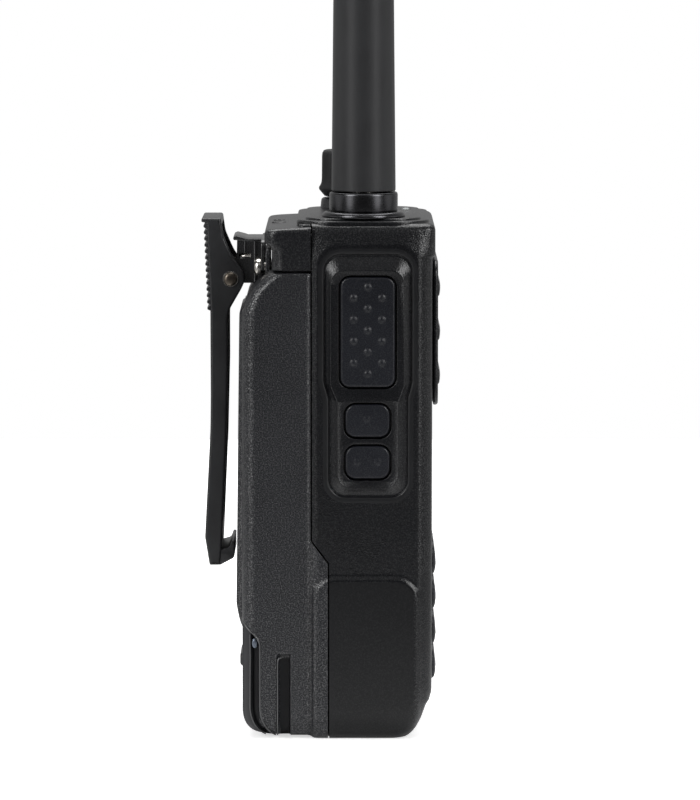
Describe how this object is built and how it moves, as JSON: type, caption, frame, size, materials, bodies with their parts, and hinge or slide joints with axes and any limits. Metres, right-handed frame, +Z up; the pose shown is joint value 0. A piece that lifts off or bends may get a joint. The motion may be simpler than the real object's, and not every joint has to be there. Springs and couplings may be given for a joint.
{
  "type": "portable two-way radio",
  "caption": "Handheld two-way radio with a stub antenna, rotary knobs, side talk button, keypad, and a lift-off battery pack carrying a sprung belt clip.",
  "frame": {"origin": "centre of the flat foot that the radio stands on, on the cover's bottom face", "axes": "+Z up along the antenna, -Y out of the display and keypad face, -X out of the talk button side"},
  "size_m": [0.0586, 0.0566, 0.221],
  "materials": {
    "black_plastic": "fine spark-eroded grain",
    "clip_plastic": "satin",
    "pack_plastic": "coarse grain",
    "cast_paint": "fine textured black paint on a casting",
    "rubber": "matt",
    "antenna_rubber": "satin",
    "black_steel": "gloss black plating",
    "nickel": "bright nickel plate",
    "glass": "polished dark window",
    "board": "green solder mask",
    "foil": "satin",
    "light_pipe": "clear"
  },
  "bodies": {
    "radio": {"front_cover": "black_plastic", "chassis": "cast_paint", "chassis_screw_left": "nickel", "chassis_screw_right": "nickel", "main_board": "board", "speaker": "foil", "speaker_mesh": "rubber", "microphone": "foil", "display_lens": "glass", "display_module": "foil", "keypad_mat": "rubber", "jack_block": "black_plastic", "status_light": "light_pipe", "top_bezel": "black_plastic", "antenna_sleeve": "antenna_rubber", "antenna_collar": "black_steel", "antenna_gasket": "rubber", "antenna_connector": "nickel", "volume_control": "foil", "channel_encoder": "foil", "radio_terminals": "foil"},
    "battery": {"battery_case": "pack_plastic", "battery_lid": "pack_plastic", "battery_cell_left": "foil", "battery_cell_right": "foil", "battery_board": "board", "battery_terminals": "foil", "charge_contact_left": "nickel", "charge_contact_right": "nickel", "clip_bracket": "black_steel", "clip_pin": "nickel", "clip_spring": "nickel", "clip_screw_left": "nickel", "clip_screw_right": "nickel"},
    "clip": {"clip_arm": "clip_plastic"},
    "latch": {"battery_latch": "black_plastic"},
    "volume": {"volume_knob": "rubber", "volume_shaft": "nickel"},
    "channel": {"channel_knob": "rubber", "channel_shaft": "nickel"},
    "talk": {"talk_button": "rubber"},
    "upper_key": {"side_key_upper": "rubber"},
    "lower_key": {"side_key_lower": "rubber"},
    "flap": {"accessory_cover": "rubber"},
    "key_1": {"key_1": "rubber"},
    "key_2": {"key_2": "rubber"},
    "key_3": {"key_3": "rubber"},
    "key_menu": {"key_menu": "rubber"},
    "key_4": {"key_4": "rubber"},
    "key_5": {"key_5": "rubber"},
    "key_6": {"key_6": "rubber"},
    "key_up": {"key_up": "rubber"},
    "key_7": {"key_7": "rubber"},
    "key_8": {"key_8": "rubber"},
    "key_9": {"key_9": "rubber"},
    "key_down": {"key_down": "rubber"},
    "key_star": {"key_star": "rubber"},
    "key_0": {"key_0": "rubber"},
    "key_hash": {"key_hash": "rubber"},
    "key_back": {"key_back": "rubber"}
  },
  "joints": [
    {"name": "clip_open", "type": "hinge", "parent": "battery", "child": "clip", "pos_m": [0, 0.0247, 0.1078], "axis": [1, 0, 0], "range_deg": [0, 22]},
    {"name": "battery_lift_off", "type": "slide", "parent": "radio", "child": "battery", "axis": [0, 1, 0], "range_m": [0, 0.03]},
    {"name": "flap_open", "type": "hinge", "parent": "radio", "child": "flap", "pos_m": [0.0288, -0.008, 0.0736], "axis": [0, 1, 0], "range_deg": [0, 165]},
    {"name": "volume_turn", "type": "hinge", "parent": "radio", "child": "volume", "pos_m": [0.0036, -0.0074, 0.1315], "axis": [0, 0, -1], "range_deg": [0, 280]},
    {"name": "channel_turn", "type": "hinge", "parent": "radio", "child": "channel", "pos_m": [0.019, -0.0036, 0.1315], "axis": [0, 0, -1], "continuous": true},
    {"name": "talk_press", "type": "slide", "parent": "radio", "child": "talk", "axis": [1, 0, 0], "range_m": [0, 0.0009]},
    {"name": "upper_key_press", "type": "slide", "parent": "radio", "child": "upper_key", "axis": [1, 0, 0], "range_m": [0, 0.0007]},
    {"name": "lower_key_press", "type": "slide", "parent": "radio", "child": "lower_key", "axis": [1, 0, 0], "range_m": [0, 0.0007]},
    {"name": "latch_slide", "type": "slide", "parent": "battery", "child": "latch", "axis": [0, 0, -1], "range_m": [0, 0.0024]},
    {"name": "key_1_press", "type": "slide", "parent": "radio", "child": "key_1", "axis": [0, 1, 0], "range_m": [0, 0.0006]},
    {"name": "key_2_press", "type": "slide", "parent": "radio", "child": "key_2", "axis": [0, 1, 0], "range_m": [0, 0.0006]},
    {"name": "key_3_press", "type": "slide", "parent": "radio", "child": "key_3", "axis": [0, 1, 0], "range_m": [0, 0.0006]},
    {"name": "key_menu_press", "type": "slide", "parent": "radio", "child": "key_menu", "axis": [0, 1, 0], "range_m": [0, 0.0006]},
    {"name": "key_4_press", "type": "slide", "parent": "radio", "child": "key_4", "axis": [0, 1, 0], "range_m": [0, 0.0006]},
    {"name": "key_5_press", "type": "slide", "parent": "radio", "child": "key_5", "axis": [0, 1, 0], "range_m": [0, 0.0006]},
    {"name": "key_6_press", "type": "slide", "parent": "radio", "child": "key_6", "axis": [0, 1, 0], "range_m": [0, 0.0006]},
    {"name": "key_up_press", "type": "slide", "parent": "radio", "child": "key_up", "axis": [0, 1, 0], "range_m": [0, 0.0006]},
    {"name": "key_7_press", "type": "slide", "parent": "radio", "child": "key_7", "axis": [0, 1, 0], "range_m": [0, 0.0006]},
    {"name": "key_8_press", "type": "slide", "parent": "radio", "child": "key_8", "axis": [0, 1, 0], "range_m": [0, 0.0006]},
    {"name": "key_9_press", "type": "slide", "parent": "radio", "child": "key_9", "axis": [0, 1, 0], "range_m": [0, 0.0006]},
    {"name": "key_down_press", "type": "slide", "parent": "radio", "child": "key_down", "axis": [0, 1, 0], "range_m": [0, 0.0006]},
    {"name": "key_star_press", "type": "slide", "parent": "radio", "child": "key_star", "axis": [0, 1, 0], "range_m": [0, 0.0006]},
    {"name": "key_0_press", "type": "slide", "parent": "radio", "child": "key_0", "axis": [0, 1, 0], "range_m": [0, 0.0006]},
    {"name": "key_hash_press", "type": "slide", "parent": "radio", "child": "key_hash", "axis": [0, 1, 0], "range_m": [0, 0.0006]},
    {"name": "key_back_press", "type": "slide", "parent": "radio", "child": "key_back", "axis": [0, 1, 0], "range_m": [0, 0.0006]}
  ]
}
